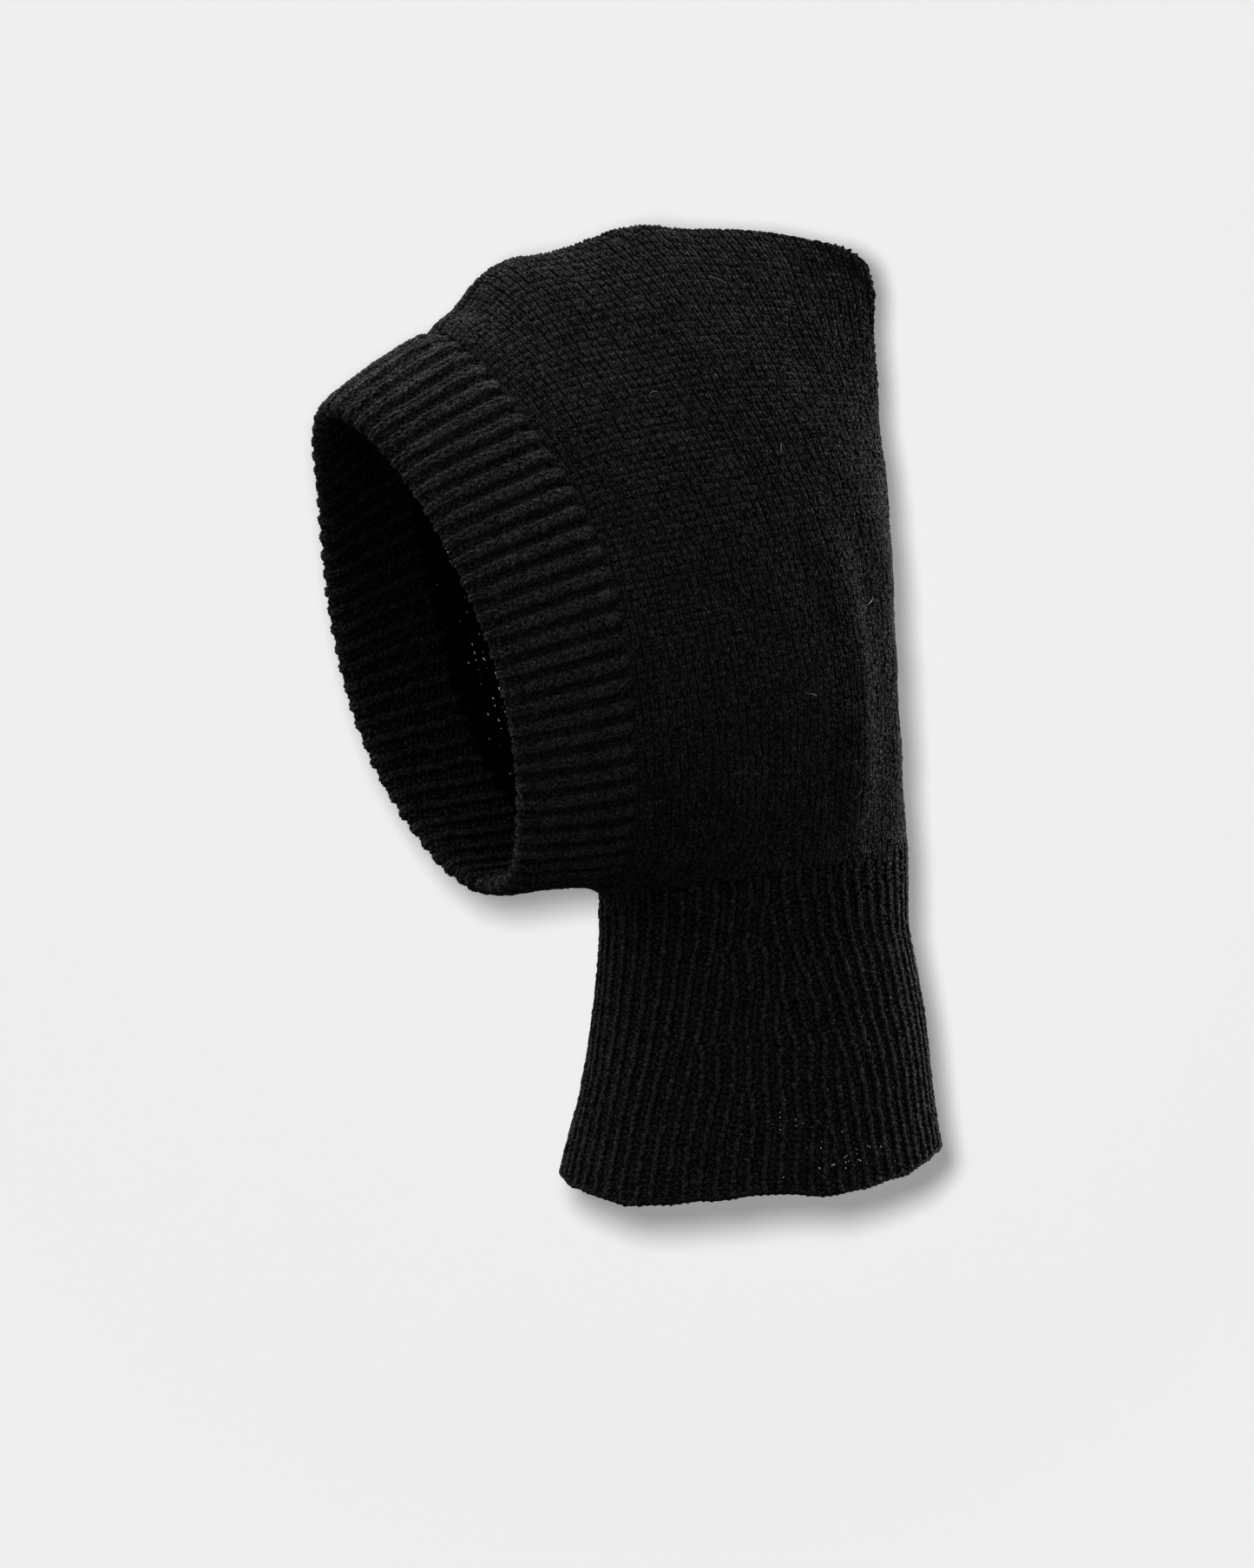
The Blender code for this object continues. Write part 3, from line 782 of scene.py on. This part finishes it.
def crown_seam():
    share = np.linspace(0.03, 0.955, 160)
    y, z = smooth_line(CROWN_LINE, share).T
    points = np.stack([0 * share, y, z - 1.6 - 2.0 * ramp(share, 0.8, 0.95)], -1)
    normals = unit(np.cross(unit(np.gradient(points, axis=0)), [1.0, 0, 0]))
    return whip(points, normals, pitch=COURSE * 1.3, across=1.1, radius=0.55)


def band_linking_seam():
    half, side = face_round(0.03, 500)
    mirror = np.stack([side, 1 + 0 * half, 1 + 0 * half], -1)
    points = seam(half) * mirror
    forward = unit(opening(half) - seam(half)) * mirror
    normals = unit(np.cross(np.gradient(points, axis=0), forward))
    return whip(points - 2.9 * normals, normals, pitch=COURSE * 1.3, across=0.8, radius=0.6)


def band_end_seam():
    """Joins the ends of the band, under the chin."""
    share = np.linspace(0.04, 0.93, 60)[:, None]
    lift = np.array([0, 0, 1.0]) * (2.2 * share + 2.3 * np.sin(pi * share))
    points = seam(np.zeros(1)) * (1 - share) + opening(np.zeros(1)) * share + lift
    normals = np.tile([0.0, 0, -1.0], (60, 1))
    return whip(points, normals, pitch=COURSE, across=0.9, radius=0.5, lift=0.2)


def neck_seam(low, high):
    """A length of the seam up the front of the neck."""
    points = neck_at(np.full(80, pi), np.linspace(low, high, 80)) + [0, 1.6, 0]
    normals = np.tile([0.0, -1.0, 0.0], (80, 1))
    return whip(points, normals, pitch=COURSE, across=0.8, radius=0.5)


# ---------------------------------------------------------------- nap
NAP_LENGTH = (0.35, 1.15)       # mm
NAP_RADIUS = 0.12               # at the root, mm
STRAY_SHARE = 0.06              # these fibres are longer and finer


def nap_mesh(name, yarn, count, seed):
    """Loose wool fibres that stand off the yarn as thin spikes."""
    random = np.random.default_rng(seed)
    paths, normals, tangents = (
        np.concatenate(v) for v in (yarn.paths, yarn.normals, yarn.tangents)
    )
    root = random.integers(0, len(paths), count)
    side = unit(np.cross(tangents[root], normals[root]))
    turn = random.uniform(-1.9, 1.9, (count, 1))
    away = normals[root] * np.cos(turn) + side * np.sin(turn)
    base = paths[root] + 0.55 * away
    lean = away * random.uniform(0.3, 1.1, (count, 1))
    direction = unit(lean + random.normal(size=(count, 3)) * 0.65)
    reach = random.uniform(*NAP_LENGTH, (count, 1))
    thick = NAP_RADIUS * random.uniform(0.6, 1.4, (count, 1))
    stray = random.uniform(size=(count, 1)) < STRAY_SHARE
    reach = np.where(stray, reach * 2.1, reach)
    thick = np.where(stray, thick * 0.5, thick)
    across = unit(np.cross(direction, random.normal(size=(count, 3))))
    other = np.cross(direction, across)
    corners = [
        base + thick * (across * np.cos(angle) + other * np.sin(angle))
        for angle in (0, 2 * pi / 3, 4 * pi / 3)
    ]
    points = np.stack(corners + [base + direction * reach], 1).reshape(-1, 3)
    faces = np.array([[0, 1, 3], [1, 2, 3], [2, 0, 3]])
    loops = (np.arange(count)[:, None, None] * 4 + faces[None]).ravel()
    return mesh_of(name, points, loops, np.full(count * 3, 3))


# ---------------------------------------------------------------- shader nodes
def fill(tree, made, inputs):
    """Sets inputs by name or number; a socket is linked and anything else is a value."""
    for key, value in inputs.items():
        if isinstance(value, bpy.types.NodeSocket):
            tree.links.new(value, made.inputs[key])
        else:
            made.inputs[key].default_value = value
    return made


def node(tree, kind, inputs=None, **settings):
    made = tree.nodes.new(kind)
    for key, value in settings.items():
        setattr(made, key, value)
    return fill(tree, made, inputs or {})


def calc(tree, operation, *operands):
    inputs = dict(enumerate(operands))
    return node(tree, "ShaderNodeMath", inputs, operation=operation).outputs[0]


def remap(tree, value, source=(0.0, 1.0), target=(0.0, 1.0), **settings):
    inputs = {
        "Value": value, "From Min": source[0], "From Max": source[1],
        "To Min": target[0], "To Max": target[1],
    }
    return node(tree, "ShaderNodeMapRange", inputs, **settings).outputs["Result"]


def noise(tree, place, scale, detail, roughness=0.5):
    inputs = {"Vector": place, "Scale": scale, "Detail": detail, "Roughness": roughness}
    return node(tree, "ShaderNodeTexNoise", inputs).outputs["Fac"]


def mix_colours(tree, factor, first, second):
    inputs = {0: factor, 6: (*first, 1), 7: (*second, 1)}
    return node(tree, "ShaderNodeMix", inputs, data_type="RGBA").outputs[2]


def mix_shaders(tree, factor, first, second):
    return node(tree, "ShaderNodeMixShader", {0: factor, 1: first, 2: second}).outputs[0]


def new_material(name):
    material = bpy.data.materials.new(name)
    material.use_nodes = True
    return material, material.node_tree


# ---------------------------------------------------------------- materials
def ply_twist(tree):
    """A wave that winds round the yarn, once for each of two plies."""
    run = node(tree, "ShaderNodeUVMap", uv_map="yarn").outputs["UV"]
    split = node(tree, "ShaderNodeSeparateXYZ", {"Vector": run})
    along = calc(tree, "MULTIPLY", split.outputs["X"], 2 * pi / 2.6)    # 2.6 mm a turn
    turn = calc(tree, "MULTIPLY", split.outputs["Y"], 4 * pi)
    return calc(tree, "SINE", calc(tree, "ADD", along, turn))


def wool(name, dark, light, sheen=0.10, bump=1.0):
    """Matte woollen yarn: slow melange, grainy fibre that also carries the sheen, and a twist.
    Its colour also carries painted shade deep in the cloth and painted light on its face.
    """
    material, tree = new_material(name)
    place = node(tree, "ShaderNodeTexCoord").outputs["Object"]
    slow = noise(tree, place, scale=110.0, detail=1.0, roughness=0.6)
    stitch = noise(tree, place, scale=430.0, detail=1.0, roughness=0.6)
    fine = noise(tree, place, scale=1150.0, detail=2.0, roughness=0.7)
    total = calc(tree, "MULTIPLY_ADD", slow, 0.10, fine)
    total = calc(tree, "MULTIPLY_ADD", stitch, 0.24, total)
    grain = calc(tree, "POWER", remap(tree, total, source=(0.47, 0.98)), 1.75)
    # painted shade and light: what stands out of the cloth is painted paler, as lit,
    # and what lies deep in it darker, as shade
    painted_light = node(tree, "ShaderNodeAttribute", attribute_name="painted_light").outputs["Fac"]
    face = remap(tree, painted_light, target=(0.10, 1.0), interpolation_type="SMOOTHSTEP")
    lit = calc(tree, "MULTIPLY", grain, face)
    colour = mix_colours(tree, lit, dark, light)
    halo = calc(tree, "MULTIPLY", lit, 3.0 * sheen)
    rough = remap(tree, fine, target=(0.75, 0.97))
    height = calc(tree, "MULTIPLY_ADD", ply_twist(tree), 0.10, fine)
    bumps = node(tree, "ShaderNodeBump", {"Strength": bump, "Distance": 0.0012, "Height": height})
    fill(tree, tree.nodes["Principled BSDF"], {
        "Base Color": colour,
        "Specular IOR Level": 0.0,
        "Sheen Weight": halo,
        "Sheen Roughness": 0.5,
        "Sheen Tint": (0.55, 0.55, 0.57, 1),
        "Roughness": rough,
        "Normal": bumps.outputs["Normal"],
    })
    return material


def lint_material():
    material, tree = new_material("pale_lint")
    place = node(tree, "ShaderNodeTexCoord").outputs["Object"]
    patches = noise(tree, place, scale=900.0, detail=2.0)
    colour = mix_colours(tree, patches, (0.16, 0.15, 0.14), (0.30, 0.29, 0.27))
    fill(tree, tree.nodes["Principled BSDF"], {"Base Color": colour, "Roughness": 0.7})
    return material


# dark and light are the ends of the painted shade and light on each piece. All the pieces are the
# same black wool; their pale ends differ only for how bright each piece looks, so the band's rib
# is painted a little lighter and the facing's copy of it a little darker, as painted light and
# shade.
BLACK = (0.0015, 0.0015, 0.0016)
STOCKING = wool("wool_stockinette", dark=BLACK, light=(0.105, 0.105, 0.107))
RIB = wool("wool_rib", dark=BLACK, light=(0.124, 0.124, 0.126))
NECK = wool("wool_neck_rib", dark=BLACK, light=(0.112, 0.112, 0.114))
INSIDE = wool("wool_facing_rib", dark=(0.0014, 0.0014, 0.0015), light=(0.112, 0.112, 0.114))
SEAM = wool("wool_seam_yarn", dark=BLACK, light=(0.045, 0.045, 0.046))
# The nap is painted much paler than the yarn: painted glints of light on the loose fibres.
NAP = wool("wool_nap", dark=(0.012, 0.012, 0.0122), light=(0.20, 0.20, 0.204), sheen=0.12,
           bump=0.0)
LINT = lint_material()

# ---------------------------------------------------------------- pieces
# Where the neck turns, and where it tilts square to its slanting top, m
TURN_BLEND = dict(start=(0, NECK_Y * MM, 0.015), end=(0, NECK_Y * MM, 0.068))
SLANT = unit(np.array([0, -(NECK_BACK_Z - CHIN_Z) / (2 * NECK_HALF_DEPTH), 1.0]))
TILT_START = np.array([0, NECK_Y * MM, 0.088])
TILT_BLEND = dict(start=tuple(TILT_START), end=tuple(TILT_START + SLANT * 0.048))
LOWER_NECK = dict(body=("neck", "collar"), blend=TURN_BLEND)
UPPER_NECK = dict(body=("collar", "hood"), blend=TILT_BLEND)


def thing(mesh, material):
    obj = bpy.data.objects.new(mesh.name, mesh)
    bpy.context.scene.collection.objects.link(obj)
    mesh.materials.append(material)
    return obj


def place(name, yarn, material, slot, replaced=(), body="hood", blend=None, fibres=0, seed=1,
          felt=None):
    """Adds a piece of knitting with its felt and nap and hides the parts it replaces. Without a
    blend they are tied to a body of the frame; with one, their placement is only baked in.
    """
    objs = [thing(yarn.mesh(name), material)]
    if felt:
        objs.append(thing(felt_mesh(name + "_core", **felt), material))
    if fibres:
        objs.append(thing(nap_mesh(name + "_nap", yarn, fibres, seed), NAP))
    for obj in objs:
        if blend:
            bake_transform(obj)
        else:
            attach(obj, body)
    if replaced:
        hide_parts(*replaced)


def place_hood():
    sheet = hood_sheet()
    felt = dict(
        sheet=sheet, stitches=(-1.0, HOOD_WALES + 1.0), courses=(-0.8, HOOD_COURSES + 0.4),
        # tone 0.50 paints the felt darker than the yarn's face: painted shade between the loops
        cells=(HOOD_WALES * 8, HOOD_COURSES * 4), depth=0.42, tone=0.50, holes=hood_holes,
        relief=lambda stitch, course: -0.12 * np.cos(2 * pi * stitch),
    )
    place("hood_stockinette", build_hood(sheet), STOCKING, "hood_stockinette", ("hood_body",),
          fibres=130000, seed=1, felt=felt)
    place("lint_hairs", build_lint(sheet), LINT, "hood_stockinette")


def place_band():
    outer, facing = build_band()
    shared = dict(sheet=BAND_SHEET, stitches=(0, BAND_WALES), depth=0.0, relief=rib_depth,
                  tone=rib_painted_shade)
    across = BAND_RIBS * 16
    place("face_band_rib", outer, RIB, "band_rib", ("face_band_outer",), fibres=100000, seed=2,
          felt=dict(shared, courses=(-1.2, BAND_SPLIT), cells=(across, BAND_SPLIT * 2)))
    place("face_band_facing_rib", facing, INSIDE, "band_rib", ("face_band_facing",),
          fibres=40000, seed=3,
          felt=dict(shared, courses=(BAND_SPLIT, BAND_ROWS),
                    cells=(across, (BAND_ROWS - BAND_SPLIT) * 2)))


def place_neck():
    sheet = neck_sheet()
    shared = dict(sheet=sheet, stitches=(0, 1), depth=-0.1)
    top = NECK_COURSES + 3
    place("neck_rib_lower_knit", build_neck(sheet, 0, NECK_SPLIT), NECK, "neck_rib",
          ("neck_rib_lower", "neck_rib_twist"), fibres=42000, seed=4, **LOWER_NECK,
          felt=dict(shared, courses=(-0.1, NECK_SPLIT), cells=(900, NECK_SPLIT * 4),
                    holes=neck_holes))
    place("neck_rib_upper_knit", build_neck(sheet, NECK_SPLIT, NECK_COURSES), NECK, "neck_rib",
          ("neck_rib_middle", "neck_rib_bend"), fibres=36000, seed=5, **UPPER_NECK,
          felt=dict(shared, courses=(NECK_SPLIT, top), cells=(360, (top - NECK_SPLIT) * 2)))
    place("hem_cast_on", build_hem(sheet), NECK, "neck_rib", ("hem_edge",), body="neck",
          fibres=4000, seed=6)


def place_seams():
    low, middle, high = NECK_SEAM_Z
    for name, yarn, replaced, hold in (
        ("crown_seam_yarn", crown_seam(), "crown_seam", {}),
        ("band_linking_yarn", band_linking_seam(), "band_linking_seam", {}),
        ("band_end_yarn", band_end_seam(), "band_end_seam", {}),
        ("neck_seam_yarn_lower", neck_seam(low, middle), "neck_front_seam_lower", LOWER_NECK),
        ("neck_seam_yarn_upper", neck_seam(middle, high), "neck_front_seam_upper", UPPER_NECK),
    ):
        place(name, yarn, SEAM, "seam_yarn", (replaced,), **hold)


# The order matters: all the tubes draw their lumps from one stream
place_hood()
place_band()
place_neck()
place_seams()

# ---------------------------------------------------------------- stage, m
AZIMUTH = radians(62)
TOWARDS = Vector((np.sin(AZIMUTH), -np.cos(AZIMUTH), 0))      # from the hood to the camera
ACROSS = Vector((np.cos(AZIMUTH), np.sin(AZIMUTH), 0))        # to the right in the picture
UP = Vector((0, 0, 1))
NECK_FOOT = Vector((0, NECK_Y * MM, 0))
HOOD_MIDDLE = NECK_FOOT - ACROSS * 0.04788 + UP * 0.2016
VIEW_CENTRE = NECK_FOOT - ACROSS * 0.05238 + UP * 0.17514
VIEW_HEIGHT = 0.65052
CAMERA_GAP = 2.0
WALL_GAP = 0.140                # from the hood's middle back to the wall
STAGE_HALF = 3.0                # half the side of the wall and of the floor
PAPER = 0.862                   # brightness of the lit paper
SHADE = 0.30                    # brightness of the paper in full shadow
PAPER_FADE = (0.30, 0.45)       # distance over which the lit paper turns to an even glow


def add_object(name, data):
    obj = bpy.data.objects.new(name, data)
    bpy.context.scene.collection.objects.link(obj)
    return obj


def glow(tree, strength):
    inputs = {"Color": (1, 1, 1, 1), "Strength": strength}
    return node(tree, "ShaderNodeEmission", inputs).outputs[0]


def stage_material(name, one_sided):
    """Pale paper: an even glow, plus what the paper's own lamps add where it isn't in shadow."""
    material, tree = new_material(name)
    tree.nodes.clear()
    where = node(tree, "ShaderNodeTexCoord").outputs["Object"]
    far = node(tree, "ShaderNodeVectorMath", {0: where}, operation="LENGTH").outputs["Value"]
    fade = remap(tree, far, source=PAPER_FADE, interpolation_type="SMOOTHSTEP")
    paper = node(tree, "ShaderNodeBsdfDiffuse", {"Color": (0.8, 0.8, 0.8, 1)}).outputs[0]
    lit = node(tree, "ShaderNodeAddShader", {0: paper, 1: glow(tree, SHADE)}).outputs[0]
    surface = mix_shaders(tree, fade, lit, glow(tree, PAPER))
    if one_sided:
        clear = node(tree, "ShaderNodeBsdfTransparent").outputs[0]
        behind = node(tree, "ShaderNodeNewGeometry").outputs["Backfacing"]
        surface = mix_shaders(tree, behind, surface, clear)
    node(tree, "ShaderNodeOutputMaterial", {"Surface": surface})
    return material


def stage_plane(name, centre, right, up, material):
    mesh = bpy.data.meshes.new(name)
    corners = ((-1, -1), (1, -1), (1, 1), (-1, 1))
    points = [tuple((right * x + up * y) * STAGE_HALF) for x, y in corners]
    mesh.from_pydata(points, [], [(0, 1, 2, 3)])
    mesh.materials.append(material)
    obj = add_object(name, mesh)
    obj.location = centre
    obj.visible_diffuse = obj.visible_glossy = obj.visible_shadow = False
    return obj


def add_camera():
    camera = add_object("camera", bpy.data.cameras.new("camera"))
    camera.data.type = "ORTHO"
    camera.data.ortho_scale = VIEW_HEIGHT
    camera.location = VIEW_CENTRE + TOWARDS * CAMERA_GAP
    camera.rotation_euler = (radians(90), 0, AZIMUTH)
    bpy.context.scene.camera = camera


wall = stage_plane("backdrop", HOOD_MIDDLE - TOWARDS * WALL_GAP, ACROSS, UP,
                   stage_material("backdrop_paper", one_sided=True))
floor = stage_plane("floor", Vector((0, 0.03, -0.0005)), Vector((1, 0, 0)), Vector((0, 1, 0)),
                    stage_material("floor_paper", one_sided=False))
add_camera()

# ---------------------------------------------------------------- lights
# Soft suns on the cloth: name, strength, angular size in degrees, and the direction to the
# light as right, up, towards the camera
CLOTH_SUNS = (
    ("key", 0.35, 26, (-0.5, 0.8, 0.55)),
    ("top", 1.0, 60, (0, 1, 0.1)),
    ("front", 0.75, 90, (-0.2, 0.15, 1.0)),
    ("side_right", 0.35, 50, (1, 0.1, 0.05)),
    ("rim_right", 10.5, 20, (0.78, 0.1, -0.62)),
    ("rim_left", 2.9, 40, (-0.9, 0.3, -0.4)),
    ("rim_top", 7.6, 50, (0.0, 0.88, -0.43)),
)


def receivers(name, objects):
    group = bpy.data.collections.new(name)
    for obj in objects:
        group.objects.link(obj)
    return group


def lamp(name, kind, energy, only):
    """A light that falls on one group of objects."""
    light = bpy.data.lights.new(name, kind)
    light.energy = energy
    obj = add_object(name, light)
    obj.light_linking.receiver_collection = only
    return obj


def sun(name, energy, size, aim, only):
    obj = lamp(name, "SUN", energy, only)
    obj.data.angle = radians(size)
    travel = -(ACROSS * aim[0] + UP * aim[1] + TOWARDS * aim[2])
    obj.rotation_mode = "QUATERNION"
    obj.rotation_quaternion = travel.to_track_quat("-Z", "Y")


paper_only = receivers("paper_only", (wall, floor))
cloth_only = receivers("cloth_only", [
    obj for obj in bpy.context.scene.objects if obj.type == "MESH" and obj not in (wall, floor)
])
for name, energy, size, aim in CLOTH_SUNS:
    sun(name, energy, size, aim, cloth_only)
paper_lamp = lamp("paper_lamp", "POINT", energy=1776.0, only=paper_only)
paper_lamp.data.shadow_soft_size = 0.33
paper_lamp.location = HOOD_MIDDLE + TOWARDS * 8.0 - ACROSS * 0.29 + UP * 0.26
sun("paper_floor", energy=1.9, size=12, aim=(0, 1, 0), only=paper_only)


def build_world():
    """Paper-white to the camera, and no light on the scene."""
    world = bpy.data.worlds.new("studio")
    bpy.context.scene.world = world
    world.use_nodes = True
    tree = world.node_tree
    tree.nodes.clear()
    seen, unseen = (
        node(tree, "ShaderNodeBackground", {"Color": (1, 1, 1, 1), "Strength": power}).outputs[0]
        for power in (PAPER, 0.0)
    )
    camera_ray = node(tree, "ShaderNodeLightPath").outputs["Is Camera Ray"]
    surface = mix_shaders(tree, camera_ray, unseen, seen)
    node(tree, "ShaderNodeOutputWorld", {"Surface": surface})


build_world()
bpy.context.scene.view_settings.view_transform = "Standard"
bpy.context.scene.view_settings.look = "None"
